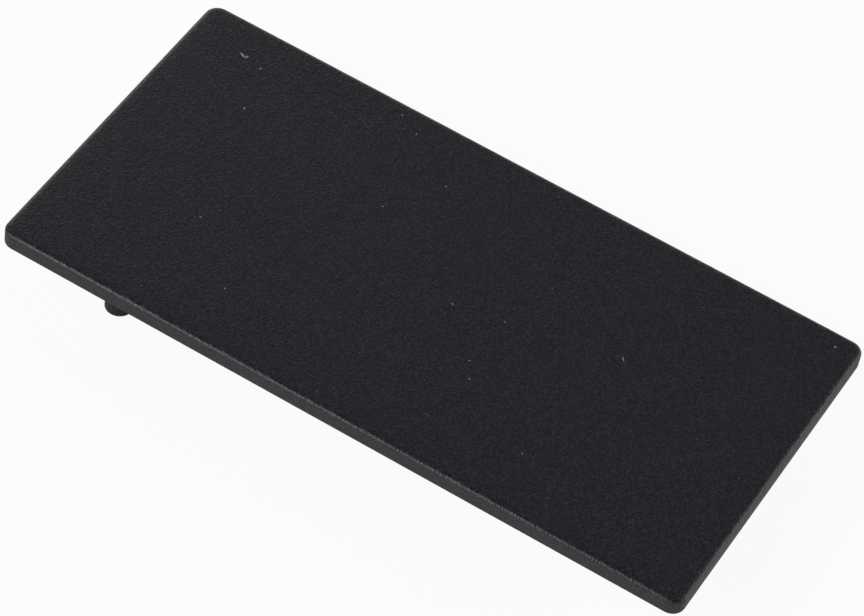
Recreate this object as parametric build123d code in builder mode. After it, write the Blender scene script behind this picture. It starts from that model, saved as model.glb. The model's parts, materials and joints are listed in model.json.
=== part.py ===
from build123d import *
import os

# End cap for the cut end of a slotted aluminium profile, moulded in one piece.
# Its plate covers the profile's section, and the pins on its underside are pressed into corners of
# the profile's slots, where each one is wedged between a slot's side wall and the lip over it.
# Millimetres. The origin is the centre of the seat face, which is the underside of the plate.
# +X runs along the plate's long side, and +Z points out of the face that is seen in use.

# The profile that the cap closes
module = 40.0  # side of one square of the profile's section
squares = 2  # squares side by side along X
slot_width = 20.0  # inner width of a slot, behind its lips
lip_thickness = 4.5  # from the profile's outer face to the inside of a slot

# The plate
plate_thickness = 2.0
corner_radius = 1.5  # upright corners
rim_radius = 0.4  # round edge of the outer face

# The pins
pin_diameter = 3.1
pin_length = 8.0
wall_bite = 0.25  # how far a pin would reach into the slot's side wall if nothing gave way
lip_bite = 0.05  # the same at the inside of the lip
root_radius = 0.3  # where a pin grows out of the plate
tip_chamfer = 0.2  # broken edge of a pin's free end

# The plate covers the profile's section to its outer faces.
plate_length = module * squares
plate_width = module

# A pin's centre, from the middle line of its slot and from the outer face that the slot opens in
pin_radius = pin_diameter / 2
from_slot_middle = slot_width / 2 + wall_bite - pin_radius
from_outer_face = lip_thickness + pin_radius - lip_bite

# One pin stands in the first slot of the long side, and one in the slot of the short side. A half
# turn of the cap carries each to its partner, so that the cap goes on either way round.
first_slot_middle = -(plate_length - module) / 2
long_side_pin = (first_slot_middle - from_slot_middle, from_outer_face - plate_width / 2)
short_side_pin = (from_outer_face - plate_length / 2, from_slot_middle)

with BuildPart() as end_cap:
    # The plate stands on the seat face.
    with BuildSketch(Plane.XY):
        RectangleRounded(plate_length, plate_width, corner_radius)
    extrude(amount=plate_thickness)

    # The outer face ends in a small round edge, and the edge at the seat face stays sharp.
    outer_face = end_cap.faces().sort_by(Axis.Z)[-1]
    fillet(outer_face.edges(), rim_radius)

    # The pins are round and straight, so that they grip over their whole length.
    with BuildSketch(Plane.XY):
        with PolarLocations(0, 2):
            with Locations(long_side_pin, short_side_pin):
                Circle(pin_radius)
    extrude(amount=-pin_length)

    # A small fillet strengthens each root, and a chamfer leads each tip into the slot.
    pin_circles = end_cap.edges(Select.LAST).filter_by(GeomType.CIRCLE).group_by(Axis.Z)
    tip_circles = pin_circles[0]
    root_circles = pin_circles[-1]
    fillet(root_circles, root_radius)
    chamfer(tip_circles, tip_chamfer)

end_cap.part.label = "end_cap"

os.makedirs("parts", exist_ok=True)
export_step(end_cap.part, "parts/end_cap.step")
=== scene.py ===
import json
import logging
import math
from dataclasses import dataclass, field

import bmesh
import bpy
import numpy as np
from mathutils import Matrix, Vector


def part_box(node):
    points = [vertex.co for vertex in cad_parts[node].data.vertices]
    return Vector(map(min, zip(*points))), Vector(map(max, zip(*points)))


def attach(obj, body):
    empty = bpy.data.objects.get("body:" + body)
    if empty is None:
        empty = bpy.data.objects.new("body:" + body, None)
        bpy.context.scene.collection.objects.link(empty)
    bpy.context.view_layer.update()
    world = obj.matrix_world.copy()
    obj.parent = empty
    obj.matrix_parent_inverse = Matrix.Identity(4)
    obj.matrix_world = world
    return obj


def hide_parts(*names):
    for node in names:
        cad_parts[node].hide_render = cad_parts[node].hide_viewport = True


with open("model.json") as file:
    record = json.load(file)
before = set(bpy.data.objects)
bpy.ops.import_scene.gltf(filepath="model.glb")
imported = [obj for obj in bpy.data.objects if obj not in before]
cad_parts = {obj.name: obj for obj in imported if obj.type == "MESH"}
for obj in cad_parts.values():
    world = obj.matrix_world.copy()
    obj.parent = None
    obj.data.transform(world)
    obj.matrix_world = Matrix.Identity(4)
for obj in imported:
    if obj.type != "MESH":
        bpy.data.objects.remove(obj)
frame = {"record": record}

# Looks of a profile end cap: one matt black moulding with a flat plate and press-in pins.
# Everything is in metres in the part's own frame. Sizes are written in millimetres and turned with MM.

MM = 0.001
CAD_NODE = "end_cap"
LOG = logging.getLogger("profile_end_cap")
# The colour sockets of a Mix node, by number
MIX_FACTOR, MIX_UNDER, MIX_OVER, MIX_RESULT = 0, 6, 7, 2

Socket = bpy.types.NodeSocket


def linear(code: str) -> tuple[float, float, float, float]:
    """Turns an sRGB hex colour into the linear colour that a shader reads.

    Args:
        code: the colour as six hex digits after a hash.

    Returns:
        Red, green, blue and an alpha of 1, all linear.
    """
    parts = [int(code[i : i + 2], 16) / 255 for i in (1, 3, 5)]
    lin = [c / 12.92 if c <= 0.04045 else ((c + 0.055) / 1.055) ** 2.4 for c in parts]
    return (lin[0], lin[1], lin[2], 1.0)


def add_node(
    tree: bpy.types.NodeTree, kind: str, inputs: dict | None = None, **settings: object
) -> bpy.types.Node:
    """Adds a node with its settings, values and links.

    Args:
        tree: the material's or the world's node tree.
        kind: the node's Blender type name.
        inputs: for each input, by name or number, a value or the output that feeds it.
        settings: the node's own settings, such as operation="MULTIPLY".

    Returns:
        The new node.
    """
    node = tree.nodes.new(kind)
    for name, value in settings.items():
        setattr(node, name, value)
    for key, value in (inputs or {}).items():
        if isinstance(value, Socket):
            tree.links.new(value, node.inputs[key])
        else:
            node.inputs[key].default_value = value
    return node


@dataclass(frozen=True)
class Mark:
    """A speck of dust or a small nick on the outer face.

    Places are in millimetres from the middle of the face. The turn is from +X, in degrees.
    """

    x: float
    y: float
    length: float
    width: float
    turn: float = 0.0


# What handling has left on the outer face: a small V-shaped nick, a short scratch and some specks.
MARKS = (
    Mark(-33.3, 15.3, 1.0, 0.34, -22.0),
    Mark(-32.8, 15.3, 0.6, 0.32, 70.0),
    Mark(-30.7, 14.8, 0.32, 0.26),
    Mark(-29.0, 9.0, 0.3, 0.3),
    Mark(-15.1, 18.3, 0.3, 0.2, 20.0),
    Mark(-12.5, 16.9, 0.24, 0.24),
    Mark(-6.2, 12.5, 0.28, 0.2, 40.0),
    Mark(-10.1, 6.2, 0.24, 0.2),
    Mark(2.5, -0.7, 0.28, 0.22),
    Mark(8.1, 0.5, 0.24, 0.2, -30.0),
    Mark(7.7, -6.0, 0.24, 0.24),
    Mark(8.9, -8.0, 0.26, 0.2),
    Mark(-24.5, -6.3, 0.26, 0.2),
    Mark(-17.3, -12.8, 0.24, 0.22),
    Mark(18.0, -13.0, 0.24, 0.2),
    Mark(20.3, 3.5, 0.9, 0.16, -47.0),
    Mark(37.3, 18.0, 0.34, 0.3),
)


@dataclass(frozen=True)
class ErodedNylon:
    """Black glass-filled nylon, moulded against a spark-eroded tool.

    The tool's craters leave a fine matt grain all over, a few hundredths of a millimetre deep and a fifth
    of a millimetre across. The crests of the craters are painted lighter than their hollows, which is
    painted light and shade, and the colour also has random darker patches. Painted glints, bright points
    painted into the colour, give the face a fine salt of bright points, and the bright line along the rim
    is broken into short dashes. The walls and the pins have a duller finish than the face.
    """

    name: str = "black_nylon_spark_eroded"
    body: str = "#101012"
    pit: str = "#060608"
    # Painted light and shade: the crests of the crater bump are painted lighter than its hollows
    painted_crest_light: str = "#2b2930"
    # Colour of the dust marks, and also of the painted glints
    dust_and_painted_glint: str = "#8f8d92"
    face_roughness: float = 0.35
    wall_roughness: float = 0.70
    pin_roughness: float = 0.95
    ior: float = 1.46
    crater_mm: float = 0.22
    crater_depth_mm: float = 0.034
    ripple_mm: float = 0.5
    ripple_depth_mm: float = 0.020
    patch_mm: float = 0.20
    # The painted glints, bright points painted into the colour: their size, share and strength
    painted_glint_mm: float = 0.45
    painted_glint_share: float = 0.34
    painted_glint_strength: float = 0.8
    # The values of each pattern between which its effect comes in
    crest_range: tuple[float, float] = (0.15, 0.75)
    patch_range: tuple[float, float] = (0.3, 0.7)
    dot_range: tuple[float, float] = (0.06, 0.17)
    stray_range: tuple[float, float] = (0.25, 0.75)
    # Heights, measured down from the face, between which the walls' finish gives way to the face's
    duller_below_mm: float = 0.42
    finer_above_mm: float = 0.20
    pin_blend_mm: float = 0.40
    roughness_stray: float = 0.06
    mark_strength: float = 0.9
    mark_full_at: float = 0.5
    mark_depth_mm: float = 0.3

    def build(self, top: float) -> bpy.types.Material:
        """Makes the material.

        Args:
            top: height of the outer face, in metres.

        Returns:
            The material, which reads Object coordinates.
        """
        material = bpy.data.materials.new(self.name)
        material.use_nodes = True
        tree = material.node_tree
        tree.nodes.clear()
        place = add_node(tree, "ShaderNodeTexCoord").outputs["Object"]
        craters = add_node(
            tree, "ShaderNodeTexVoronoi",
            {"Vector": place, "Scale": 1 / (self.crater_mm * MM), "Smoothness": 0.5, "Randomness": 1.0},
            feature="SMOOTH_F1",
        ).outputs["Distance"]
        ripple = add_node(
            tree, "ShaderNodeTexNoise",
            {"Vector": place, "Scale": 1 / (self.ripple_mm * MM), "Detail": 4.0, "Roughness": 0.65},
        ).outputs["Fac"]
        coarse = add_node(
            tree, "ShaderNodeBump",
            {"Height": ripple, "Strength": 1.0, "Distance": self.ripple_depth_mm * MM},
        ).outputs["Normal"]
        grain = add_node(
            tree, "ShaderNodeBump",
            {"Height": craters, "Strength": 1.0, "Distance": self.crater_depth_mm * MM, "Normal": coarse},
        ).outputs["Normal"]
        marked = self.marks(tree, place, top)
        shader = add_node(
            tree, "ShaderNodeBsdfPrincipled",
            {
                "Base Color": self.colour(tree, place, craters, marked),
                "Roughness": self.roughness(tree, place, ripple, top),
                "IOR": self.ior,
                "Normal": grain,
            },
        )
        add_node(tree, "ShaderNodeOutputMaterial", {"Surface": shader.outputs["BSDF"]})
        return material

    def colour(self, tree: bpy.types.NodeTree, place: Socket, craters: Socket, marked: Socket) -> Socket:
        """Colours the skin: crests painted lighter than the crater hollows as painted light and shade,
        darker random patches, painted glints of mixed strength, and the marks.

        Args:
            tree: the material's node tree.
            place: Object coordinates.
            craters: distance from the middle of each crater.
            marked: how strongly a mark covers the skin.

        Returns:
            The colour.
        """
        # Painted light and shade: the crests of the crater bump are painted lighter than its hollows.
        painted_crest_light = add_node(
            tree, "ShaderNodeMapRange",
            {"Value": craters, "From Min": self.crest_range[0], "From Max": self.crest_range[1]},
        ).outputs["Result"]
        patches = add_node(
            tree, "ShaderNodeTexNoise", {"Vector": place, "Scale": 1 / (self.patch_mm * MM), "Detail": 2.0}
        ).outputs["Fac"]
        spread = add_node(
            tree, "ShaderNodeMapRange",
            {"Value": patches, "From Min": self.patch_range[0], "From Max": self.patch_range[1]},
        ).outputs["Result"]
        low = add_node(
            tree, "ShaderNodeMix",
            {MIX_FACTOR: spread, MIX_UNDER: linear(self.pit), MIX_OVER: linear(self.body)},
            data_type="RGBA",
        ).outputs[MIX_RESULT]
        skin = add_node(
            tree, "ShaderNodeMix",
            {MIX_FACTOR: painted_crest_light, MIX_UNDER: low, MIX_OVER: linear(self.painted_crest_light)},
            data_type="RGBA",
        ).outputs[MIX_RESULT]
        # Painted glints: bright points painted into the colour at random places.
        points = add_node(
            tree, "ShaderNodeTexVoronoi", {"Vector": place, "Scale": 1 / (self.painted_glint_mm * MM)}
        ).outputs
        chosen = add_node(
            tree, "ShaderNodeMapRange", {"Value": points["Color"], "From Min": 1.0 - self.painted_glint_share}
        ).outputs["Result"]
        dot = add_node(
            tree, "ShaderNodeMapRange",
            {
                "Value": points["Distance"],
                "From Min": self.dot_range[0], "From Max": self.dot_range[1],
                "To Min": self.painted_glint_strength, "To Max": 0.0,
            },
        ).outputs["Result"]
        painted_glint = add_node(tree, "ShaderNodeMath", {0: chosen, 1: dot}, operation="MULTIPLY").outputs["Value"]
        skin_with_painted_glints = add_node(
            tree, "ShaderNodeMix",
            {MIX_FACTOR: painted_glint, MIX_UNDER: skin, MIX_OVER: linear(self.dust_and_painted_glint)},
            data_type="RGBA",
        ).outputs[MIX_RESULT]
        return add_node(
            tree, "ShaderNodeMix",
            {MIX_FACTOR: marked, MIX_UNDER: skin_with_painted_glints, MIX_OVER: linear(self.dust_and_painted_glint)},
            data_type="RGBA",
        ).outputs[MIX_RESULT]

    def roughness(self, tree: bpy.types.NodeTree, place: Socket, ripple: Socket, top: float) -> Socket:
        """Gives the face its finer finish and the walls and pins their duller one.

        Args:
            tree: the material's node tree.
            place: Object coordinates.
            ripple: the slow unevenness, which also strays the roughness a little.
            top: height of the outer face, in metres.

        Returns:
            The roughness.
        """
        height = add_node(tree, "ShaderNodeSeparateXYZ", {"Vector": place}).outputs["Z"]
        wall = add_node(
            tree, "ShaderNodeMapRange",
            {
                "Value": height, "From Min": -self.pin_blend_mm * MM, "From Max": 0.0,
                "To Min": self.pin_roughness, "To Max": self.wall_roughness,
            },
        ).outputs["Result"]
        base = add_node(
            tree, "ShaderNodeMapRange",
            {
                "Value": height,
                "From Min": top - self.duller_below_mm * MM,
                "From Max": top - self.finer_above_mm * MM,
                "To Min": wall, "To Max": self.face_roughness,
            },
        ).outputs["Result"]
        stray = add_node(
            tree, "ShaderNodeMapRange",
            {
                "Value": ripple, "From Min": self.stray_range[0], "From Max": self.stray_range[1],
                "To Min": -self.roughness_stray, "To Max": self.roughness_stray,
            },
        ).outputs["Result"]
        return add_node(tree, "ShaderNodeMath", {0: base, 1: stray}, operation="ADD").outputs["Value"]

    def marks(self, tree: bpy.types.NodeTree, place: Socket, top: float) -> Socket:
        """Lays the marks on the outer face, each a soft-edged ellipse.

        Args:
            tree: the material's node tree.
            place: Object coordinates.
            top: height of the outer face, in metres.

        Returns:
            How strongly a mark covers the skin: 0 off the marks, and mark_strength at their middles.
        """
        total: Socket | None = None
        for mark in MARKS:
            local = add_node(
                tree, "ShaderNodeMapping",
                {
                    "Vector": place,
                    "Location": (mark.x * MM, mark.y * MM, top),
                    "Rotation": (0.0, 0.0, math.radians(mark.turn)),
                    "Scale": (mark.length * MM / 2, mark.width * MM / 2, self.mark_depth_mm * MM),
                },
                vector_type="TEXTURE",
            ).outputs["Vector"]
            spot = add_node(
                tree, "ShaderNodeTexGradient", {"Vector": local}, gradient_type="SPHERICAL"
            ).outputs["Fac"]
            if total is None:
                total = spot
            else:
                total = add_node(tree, "ShaderNodeMath", {0: total, 1: spot}, operation="MAXIMUM").outputs[
                    "Value"
                ]
        return add_node(
            tree, "ShaderNodeMapRange",
            {"Value": total, "From Max": self.mark_full_at, "To Max": self.mark_strength},
        ).outputs["Result"]


@dataclass(frozen=True)
class WhitePaper:
    """White studio paper, a smooth dead-flat white that keeps a faint shadow."""

    name: str = "white_paper_sweep"
    colour: str = "#f7f7f7"
    glow: float = 0.93

    def build(self) -> bpy.types.Material:
        """Makes the material, which shows itself nearly white to the eye and in reflections.

        Returns:
            The material, which is clear when seen from behind.
        """
        material = bpy.data.materials.new(self.name)
        material.use_nodes = True
        material.cycles.emission_sampling = "NONE"
        tree = material.node_tree
        tree.nodes.clear()
        ray = add_node(tree, "ShaderNodeLightPath").outputs
        seen = add_node(
            tree, "ShaderNodeMath", {0: ray["Is Camera Ray"], 1: ray["Is Glossy Ray"]}, operation="MAXIMUM"
        ).outputs["Value"]
        shown = add_node(
            tree, "ShaderNodeMath", {0: seen, 1: ray["Is Transmission Ray"]}, operation="MAXIMUM"
        ).outputs["Value"]
        share = add_node(
            tree, "ShaderNodeMath", {0: shown, 1: self.glow}, operation="MULTIPLY"
        ).outputs["Value"]
        matt = add_node(tree, "ShaderNodeBsdfDiffuse", {"Color": linear(self.colour)}).outputs["BSDF"]
        white = add_node(tree, "ShaderNodeEmission", {"Strength": 1.0}).outputs["Emission"]
        lit = add_node(tree, "ShaderNodeMixShader", {0: share, 1: matt, 2: white}).outputs["Shader"]
        clear = add_node(tree, "ShaderNodeBsdfTransparent").outputs["BSDF"]
        behind = add_node(tree, "ShaderNodeNewGeometry").outputs["Backfacing"]
        both = add_node(tree, "ShaderNodeMixShader", {0: behind, 1: lit, 2: clear}).outputs["Shader"]
        add_node(tree, "ShaderNodeOutputMaterial", {"Surface": both})
        return material


@dataclass
class Sweep:
    """The floor, which curves up into a low wall all the way round."""

    floor_height: float
    flat_radius: float = 1.1
    curve_radius: float = 0.3
    wall_height: float = 0.45
    turns: int = 96
    floor_rows: int = 8
    curve_rows: int = 16

    def build(self) -> bpy.types.Object:
        """Turns the profile about the upright axis.

        The profile runs out along the floor, up a quarter circle and up the wall, and point (i, j) is
        profile point j turned by 2 pi i / turns.

        Returns:
            The sweep's object.
        """
        arc = np.linspace(0.0, math.pi / 2, self.curve_rows)
        radius = np.concatenate((
            np.linspace(0.0, self.flat_radius, self.floor_rows)[1:-1],
            self.flat_radius + self.curve_radius * np.sin(arc),
            [self.flat_radius + self.curve_radius],
        ))
        height = np.concatenate((
            np.zeros(self.floor_rows - 2),
            self.curve_radius * (1 - np.cos(arc)),
            [self.wall_height],
        )) + self.floor_height
        turn = np.arange(self.turns) * (2 * math.pi / self.turns)
        ring = np.stack((
            radius[:, None] * np.cos(turn),
            radius[:, None] * np.sin(turn),
            np.broadcast_to(height[:, None], (len(radius), self.turns)),
        ), axis=-1).reshape(-1, 3)
        rows, around = np.meshgrid(np.arange(len(radius) - 1), np.arange(self.turns), indexing="ij")
        start = rows * self.turns
        following = (around + 1) % self.turns
        quads = np.stack((
            start + around, start + self.turns + around, start + self.turns + following, start + following
        ), axis=-1).reshape(-1, 4)
        middle = len(ring)
        fan = np.stack((
            np.full(self.turns, middle), np.arange(self.turns), (np.arange(self.turns) + 1) % self.turns
        ), axis=-1)
        points = np.vstack((ring, [[0.0, 0.0, self.floor_height]]))
        mesh = bpy.data.meshes.new("sweep")
        mesh.from_pydata(points.tolist(), [], quads.tolist() + fan.tolist())
        mesh.polygons.foreach_set("use_smooth", np.ones(len(mesh.polygons), dtype=bool))
        mesh.materials.append(WhitePaper().build())
        sweep = bpy.data.objects.new("sweep", mesh)
        bpy.context.scene.collection.objects.link(sweep)
        return sweep


def direction(azimuth: float, elevation: float) -> Vector:
    """Gives the unit vector from the part towards a place round it.

    Args:
        azimuth: degrees from -Y towards +X.
        elevation: degrees above the horizon.

    Returns:
        The direction in the part's frame.
    """
    a = math.radians(azimuth)
    e = math.radians(elevation)
    return Vector((math.sin(a) * math.cos(e), -math.cos(a) * math.cos(e), math.sin(e)))


@dataclass(frozen=True)
class Softbox:
    """A square lamp with a diffuser, which faces the part."""

    name: str
    azimuth: float
    elevation: float
    distance: float
    width: float
    brightness: float

    def build(self) -> bpy.types.Object:
        """Places the lamp.

        Its power is brightness x area x pi, so that brightness is what the lamp's face would show, where
        1 is white.

        Returns:
            The lamp, which the camera doesn't see.
        """
        lamp = bpy.data.lights.new(self.name, "AREA")
        lamp.shape = "SQUARE"
        lamp.size = self.width
        lamp.energy = self.brightness * self.width**2 * math.pi
        light = bpy.data.objects.new(self.name, lamp)
        away = direction(self.azimuth, self.elevation)
        light.location = away * self.distance
        light.rotation_mode = "QUATERNION"
        light.rotation_quaternion = away.to_track_quat("Z", "Y")
        light.visible_camera = False
        bpy.context.scene.collection.objects.link(light)
        return light


@dataclass(frozen=True)
class Studio:
    """Plain soft light: a dim even surround and a few softboxes."""

    surround: float = 0.03
    lamps: tuple[Softbox, ...] = (
        Softbox("key_softbox", -37.0, 43.0, 1.2, 0.75, 5.4),
        Softbox("side_softbox", 130.0, 27.0, 1.2, 1.0, 2.0),
        Softbox("left_softbox", -134.0, 20.0, 1.2, 0.6, 1.2),
        Softbox("back_softbox", -157.0, 50.0, 1.3, 0.8, 0.16),
    )

    def build(self) -> None:
        """Sets the world and places the lamps."""
        world = bpy.data.worlds.new("dim_room")
        bpy.context.scene.world = world
        world.use_nodes = True
        backdrop = world.node_tree.nodes["Background"]
        backdrop.inputs["Color"].default_value = (1.0, 1.0, 1.0, 1.0)
        backdrop.inputs["Strength"].default_value = self.surround
        for lamp in self.lamps:
            lamp.build()


@dataclass(frozen=True)
class Viewpoint:
    """Where the camera stands: it looks down on the outer face from the front right.

    The aim is a point of the outer face, in millimetres from its middle.
    """

    azimuth: float = 23.324
    elevation: float = 50.164
    roll: float = -10.171
    distance_mm: float = 414.69
    aim_x_mm: float = 1.093
    aim_y_mm: float = -2.395
    lens: float = 170.02
    sensor: float = 36.0

    def build(self, top: float) -> bpy.types.Object:
        """Makes the camera and gives it to the scene.

        Args:
            top: height of the outer face, in metres.

        Returns:
            The camera.
        """
        back = direction(self.azimuth, self.elevation)
        aim = Vector((self.aim_x_mm * MM, self.aim_y_mm * MM, top))
        data = bpy.data.cameras.new("camera")
        data.lens = self.lens
        data.sensor_width = self.sensor
        data.clip_start = 0.01
        data.clip_end = 10.0
        camera = bpy.data.objects.new("camera", data)
        level = back.to_track_quat("Z", "Y").to_matrix().to_4x4()
        rolled = level @ Matrix.Rotation(math.radians(-self.roll), 4, "Z")
        camera.matrix_world = Matrix.Translation(aim + back * self.distance_mm * MM) @ rolled
        bpy.context.scene.collection.objects.link(camera)
        bpy.context.scene.camera = camera
        return camera


@dataclass(frozen=True)
class Pin:
    """One press-in pin: its centre and its radius, in metres."""

    x: float
    y: float
    radius: float


@dataclass(frozen=True)
class Ripple:
    """The unevenness that a moulded skin keeps at sizes between the grain and the whole face.

    It is a sum of plane waves through space, so that it runs on unbroken from the face over the rim:
    each wave has a direction and a phase drawn at random, a length between the two given, and a height
    in proportion to its length, so that all are equally steep.
    """

    shortest_mm: float = 0.55
    longest_mm: float = 2.4
    depth_mm: float = 0.011
    waves: int = 70
    seed: int = 11
    # How many of the sum's standard deviations, each way, the depth spans
    span: float = 2.5

    def depth(self, points: np.ndarray) -> np.ndarray:
        """Gives how far the skin lies under its ideal surface.

        Args:
            points: places in metres, one row each.

        Returns:
            The depth at each place in metres, never below 0.
        """
        rng = np.random.default_rng(self.seed)
        ways = rng.normal(size=(self.waves, 3))
        ways /= np.linalg.norm(ways, axis=1, keepdims=True)
        lengths = self.shortest_mm * (self.longest_mm / self.shortest_mm) ** rng.random(self.waves)
        phases = rng.uniform(0.0, 2 * math.pi, self.waves)
        weights = lengths / np.sqrt((lengths**2).sum() / 2)
        total = np.zeros(len(points))
        for way, length, phase, weight in zip(ways, lengths, phases, weights):
            total += weight * np.sin(points @ way * (2 * math.pi / (length * MM)) + phase)
        return self.depth_mm * MM * (0.5 + 0.5 * np.clip(total / self.span, -1.0, 1.0))


@dataclass
class CapMoulding:
    """The whole cap as one closed skin: face, rim, sides, seat face and pins.

    The seat face is at height 0. Lengths are in metres.
    """

    half_length: float
    half_width: float
    thickness: float
    pin_length: float
    pins: list[Pin]
    corner: float = 1.5 * MM
    rim_reach: float = 0.72 * MM
    rim_drop: float = 0.36 * MM
    foot: float = 0.06 * MM
    cell: float = 0.27 * MM
    shoulder_slope: float = 0.05
    shoulder_reach: float = 0.30 * MM
    end_crown: float = 0.028
    side_crown: float = 0.008
    crown_reach: float = 1.6 * MM
    root: float = 0.3 * MM
    tip: float = 0.2 * MM
    around_pin: int = 64
    # Rows of points in each part of a section, and the widths of the face's cells from the rim inwards
    rim_rows: int = 9
    wall_rows: int = 9
    foot_rows: int = 4
    root_rows: int = 7
    shaft_rows: int = 24
    rim_cells_mm: tuple[float, ...] = (0.07, 0.08, 0.09, 0.10, 0.12, 0.14, 0.17, 0.2, 0.23)
    ripple: Ripple = field(default_factory=Ripple)

    @classmethod
    def from_frame(cls, record: dict) -> "CapMoulding":
        """Takes the cap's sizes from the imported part.

        Args:
            record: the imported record, whose pin mounts give the pins.

        Returns:
            The moulding, not yet built.
        """
        low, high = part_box(CAD_NODE)
        pins = [
            Pin(mount["pos_m"][0], mount["pos_m"][1], mount["dims"]["r_mm"] * MM)
            for mount in record["mounts"]
            if mount["kind"] == "pin"
        ]
        return cls(high[0], high[1], high[2], -low[2], pins)

    def steps(self, half: float) -> np.ndarray:
        """Gives the grid lines across the face: close together by the rim and even further in.

        Args:
            half: half the width of the face inside the rim.

        Returns:
            The lines' places from -half to half.
        """
        near_rim = np.cumsum(self.rim_cells_mm) * MM
        inner = half - near_rim[-1]
        count = max(2, round(2 * inner / self.cell))
        middle = np.linspace(-inner, inner, count + 1)
        edge = half - np.concatenate(([0.0], near_rim[:-1]))
        return np.concatenate((-edge, middle, edge[::-1]))

    def from_outline(self, x: np.ndarray, y: np.ndarray) -> np.ndarray:
        """Gives the distance of points inside the outline from it.

        The distance to a rounded rectangle is the distance to the box shrunk by the corner radius,
        less that radius.

        Args:
            x: places along the long side, in metres from the middle.
            y: places along the short side.

        Returns:
            The distance inwards from the outline, in metres.
        """
        across = np.abs(x) - (self.half_length - self.corner)
        along = np.abs(y) - (self.half_width - self.corner)
        outside = np.hypot(np.maximum(across, 0.0), np.maximum(along, 0.0))
        return self.corner - outside - np.minimum(np.maximum(across, along), 0.0)

    def sag(self, x: np.ndarray, y: np.ndarray) -> np.ndarray:
        """Gives how far the face lies under its highest plane.

        A short shoulder falls towards the rim, and a long shallow crown falls towards each side. Each
        is its slope times its reach times exp(-distance / reach).

        Args:
            x: places along the long side, in metres from the middle.
            y: places along the short side.

        Returns:
            The fall at each place, in metres.
        """
        inside = self.from_outline(x, y) - self.rim_reach
        short = self.shoulder_slope * self.shoulder_reach * np.exp(-inside / self.shoulder_reach)
        ends = np.stack((self.half_length - x, self.half_length + x))
        sides = np.stack((self.half_width - y, self.half_width + y))
        long = self.end_crown * np.exp(-(ends - self.rim_reach) / self.crown_reach).sum(axis=0)
        long += self.side_crown * np.exp(-(sides - self.rim_reach) / self.crown_reach).sum(axis=0)
        return short + self.crown_reach * long

    def face(self) -> tuple[np.ndarray, np.ndarray]:
        """Works out the face inside the rim as a grid fitted to its rounded outline.

        In each corner square the grid is drawn in from a square to a quarter disc: a point moves along
        its ray, to the radius that its larger coordinate gave.

        Returns:
            The points as an array of rows, columns and x, y, z, and the number of each point.
        """
        xs = self.steps(self.half_length - self.rim_reach)
        ys = self.steps(self.half_width - self.rim_reach)
        x, y = np.meshgrid(xs, ys)
        dx = np.abs(x) - (self.half_length - self.corner)
        dy = np.abs(y) - (self.half_width - self.corner)
        in_corner = (dx > 0) & (dy > 0)
        larger = np.maximum(dx, dy)
        pull = np.where(in_corner, larger / np.maximum(np.hypot(dx, dy), 1e-12), 1.0)
        x = np.where(in_corner, np.sign(x) * (np.abs(x) - dx * (1 - pull)), x)
        y = np.where(in_corner, np.sign(y) * (np.abs(y) - dy * (1 - pull)), y)
        z = self.thickness - self.sag(x, y)
        grid = np.stack((x, y, z), axis=-1)
        return grid, np.arange(x.size).reshape(x.shape)

    def rim_section(self, count: int) -> tuple[np.ndarray, np.ndarray, np.ndarray, np.ndarray]:
        """Gives the rim's section, a quarter of an ellipse that reaches further in than it drops.

        Args:
            count: rows of points.

        Returns:
            Row by row, the outward reach past the face's edge, the drop under it, and the outward and
            upward parts of the normal.
        """
        turn = np.linspace(0.0, math.pi / 2, count + 1)[1:]
        outward = self.rim_drop * np.sin(turn)
        upward = self.rim_reach * np.cos(turn)
        size = np.hypot(outward, upward)
        reach = self.rim_reach * np.sin(turn)
        drop = self.rim_drop * (1 - np.cos(turn))
        return reach, drop, outward / size, upward / size

    def skirt(self, edge: np.ndarray) -> tuple[np.ndarray, np.ndarray]:
        """Carries the rim's and the side's section round the face's edge.

        Args:
            edge: the points of the face's edge in order, seen from above and turning left.

        Returns:
            The points, as an array of rows, points round and x, y, z, and their outward normals.
        """
        core_x = np.clip(edge[:, 0], self.corner - self.half_length, self.half_length - self.corner)
        core_y = np.clip(edge[:, 1], self.corner - self.half_width, self.half_width - self.corner)
        out = np.stack((edge[:, 0] - core_x, edge[:, 1] - core_y), axis=-1)
        out /= np.linalg.norm(out, axis=1, keepdims=True)
        reach, drop, outward, upward = self.rim_section(self.rim_rows)
        shoulder = edge[:, 2] - self.rim_drop
        wall = np.linspace(1.0, 0.0, self.wall_rows)[1:-1]
        foot = np.linspace(0.0, math.pi / 2, self.foot_rows)
        rows, normals = [], []
        for r, d, o, u in zip(reach, drop, outward, upward):
            rows.append(np.column_stack((edge[:, :2] + out * r, edge[:, 2] - d)))
            normals.append(np.column_stack((out * o, np.full(len(edge), u))))
        side = edge[:, :2] + out * self.rim_reach
        for share in wall:
            height = self.foot + (shoulder - self.foot) * share
            rows.append(np.column_stack((side, height)))
            normals.append(np.column_stack((out, np.zeros(len(edge)))))
        for angle in foot:
            height = np.full(len(edge), self.foot * (1 - math.sin(angle)))
            rows.append(np.column_stack((side - out * self.foot * (1 - math.cos(angle)), height)))
            normals.append(np.zeros((len(edge), 3)))
        return np.stack(rows), np.stack(normals)

    def pin_rows(self, pin: Pin) -> np.ndarray:
        """Turns a pin's section about its axis: the root fillet, the straight wall and the blunt tip.

        Args:
            pin: where the pin stands, and its radius.

        Returns:
            The points as an array of rows, points round and x, y, z, from the seat face down.
        """
        bend = np.linspace(0.0, math.pi / 2, self.root_rows)
        flare_r = pin.radius + self.root * (1 - np.sin(bend))
        flare_z = -self.root * (1 - np.cos(bend))
        wall_z = np.linspace(-self.root, -(self.pin_length - self.tip), self.shaft_rows)[1:]
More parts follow.
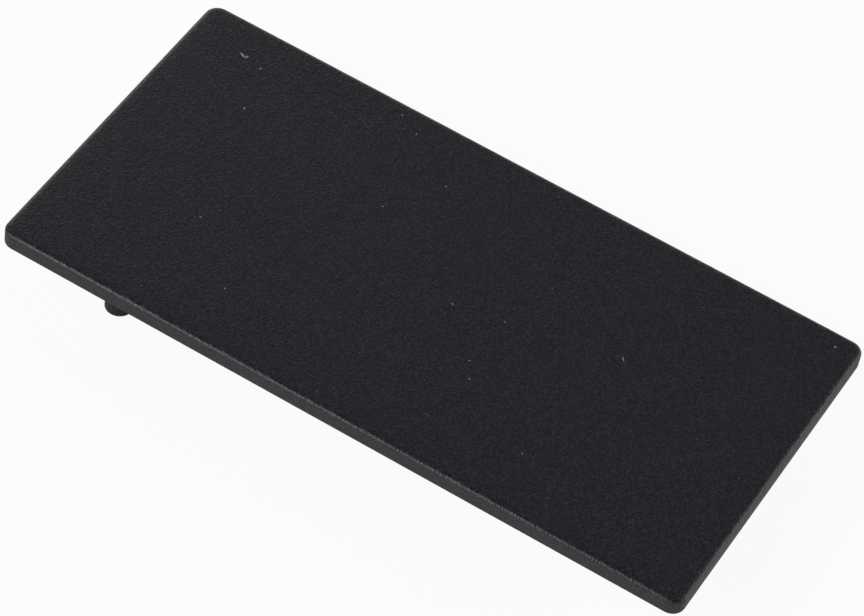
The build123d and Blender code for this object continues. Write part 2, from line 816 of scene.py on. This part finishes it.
        # Rows of the tip, as shares of its chamfer: past 1 they run inwards over the flat end
        edge = np.array([0.12, 0.3, 0.7, 0.88, 1.0, 1.5])
        tip_r = pin.radius - self.tip * edge
        tip_z = -(self.pin_length - self.tip) - self.tip * np.minimum(edge, 1.0)
        radius = np.concatenate((flare_r, np.full(len(wall_z), pin.radius), tip_r))
        height = np.concatenate((flare_z, wall_z, tip_z))
        turn = np.arange(self.around_pin) * (2 * math.pi / self.around_pin)
        return np.stack((
            pin.x + radius[:, None] * np.cos(turn),
            pin.y + radius[:, None] * np.sin(turn),
            np.broadcast_to(height[:, None], (len(radius), self.around_pin)),
        ), axis=-1)

    @staticmethod
    def bands(first: int, rows: int, count: int) -> np.ndarray:
        """Gives the four-cornered faces between each closed row of points and the next.

        Args:
            first: number of the first point.
            rows: rows of points.
            count: points in a row.

        Returns:
            The corners of each face, turning left as seen from outside.
        """
        row, around = np.meshgrid(np.arange(rows - 1), np.arange(count), indexing="ij")
        here = first + row * count
        following = (around + 1) % count
        return np.stack(
            (here + around, here + count + around, here + count + following, here + following), axis=-1
        ).reshape(-1, 4)

    def build(self) -> bpy.types.Object:
        """Makes the cap's mesh and its object.

        Returns:
            The object, at the origin, with its place in its mesh.
        """
        grid, number = self.face()
        loop = np.concatenate((number[0, :-1], number[:-1, -1], number[-1, :0:-1], number[:0:-1, 0]))
        flat = grid.reshape(-1, 3)
        cells = np.stack(
            (number[:-1, :-1], number[:-1, 1:], number[1:, 1:], number[1:, :-1]), axis=-1
        ).reshape(-1, 4)
        edge = flat[loop]
        skirt, normals = self.skirt(edge)
        face_points = flat.copy()
        face_points[:, 2] -= self.ripple.depth(flat)
        unevenness = self.ripple.depth(skirt.reshape(-1, 3)).reshape(*skirt.shape[:2], 1)
        skirt_points = skirt - normals * unevenness
        ring = len(loop)
        start = len(flat)
        around = np.arange(ring)
        join = np.stack(
            (loop, start + around, start + (around + 1) % ring, np.roll(loop, -1)), axis=-1
        )
        side = self.bands(start, len(skirt), ring)
        # Point arrays and face arrays grow together, and total is the number of points so far.
        points = [face_points, skirt_points.reshape(-1, 3)]
        polygons = [cells, join, side]
        total = start + skirt_points.shape[0] * ring
        rims = [np.arange(total - ring, total)]
        tips = []
        for pin in self.pins:
            turned = self.pin_rows(pin)
            points.append(turned.reshape(-1, 3))
            polygons.append(self.bands(total, len(turned), self.around_pin))
            rims.append(np.arange(total, total + self.around_pin))
            total += turned.shape[0] * self.around_pin
            tips.append(np.arange(total - self.around_pin, total))
        mesh = bpy.data.meshes.new("end_cap_moulding")
        faces = np.vstack(polygons).tolist() + [tip[::-1].tolist() for tip in tips]
        mesh.from_pydata(np.vstack(points).tolist(), [], faces)
        self.close_seat_face(mesh, rims)
        return self.placed(mesh)

    @staticmethod
    def close_seat_face(mesh: bpy.types.Mesh, rims: list[np.ndarray]) -> None:
        """Fills the seat face between the foot of the sides and the roots of the pins.

        Args:
            mesh: the mesh, which still lacks its seat face.
            rims: the point numbers of each loop that bounds the seat face, in order.
        """
        work = bmesh.new()
        work.from_mesh(mesh)
        work.verts.ensure_lookup_table()
        bounds = []
        for rim in rims:
            corners = [work.verts[int(i)] for i in rim]
            bounds += [work.edges.get(pair) for pair in zip(corners, corners[1:] + corners[:1])]
        filled = bmesh.ops.triangle_fill(work, use_beauty=True, use_dissolve=False, edges=bounds)
        seat = [item for item in filled["geom"] if isinstance(item, bmesh.types.BMFace)]
        for polygon in work.faces:
            polygon.smooth = True
        for polygon in seat:
            polygon.normal_update()
            if polygon.normal.z > 0:
                polygon.normal_flip()
            polygon.smooth = False
        work.to_mesh(mesh)
        work.free()

    @staticmethod
    def placed(mesh: bpy.types.Mesh) -> bpy.types.Object:
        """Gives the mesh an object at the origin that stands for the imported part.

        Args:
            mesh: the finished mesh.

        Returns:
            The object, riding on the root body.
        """
        cap = bpy.data.objects.new("end_cap_moulding", mesh)
        bpy.context.scene.collection.objects.link(cap)
        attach(cap, "root")
        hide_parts(CAD_NODE)
        return cap


def main() -> None:
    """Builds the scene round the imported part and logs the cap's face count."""
    logging.basicConfig(level=logging.INFO, format="%(name)s: %(message)s")
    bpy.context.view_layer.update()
    moulding = CapMoulding.from_frame(frame["record"])
    cap = moulding.build()
    cap.data.materials.append(ErodedNylon().build(moulding.thickness))
    LOG.info("%s: %d faces", cap.name, len(cap.data.polygons))
    Sweep(-moulding.pin_length).build()
    Studio().build()
    Viewpoint().build(moulding.thickness)
    bpy.context.scene.view_settings.view_transform = "Standard"


if __name__ == "__main__":
    main()
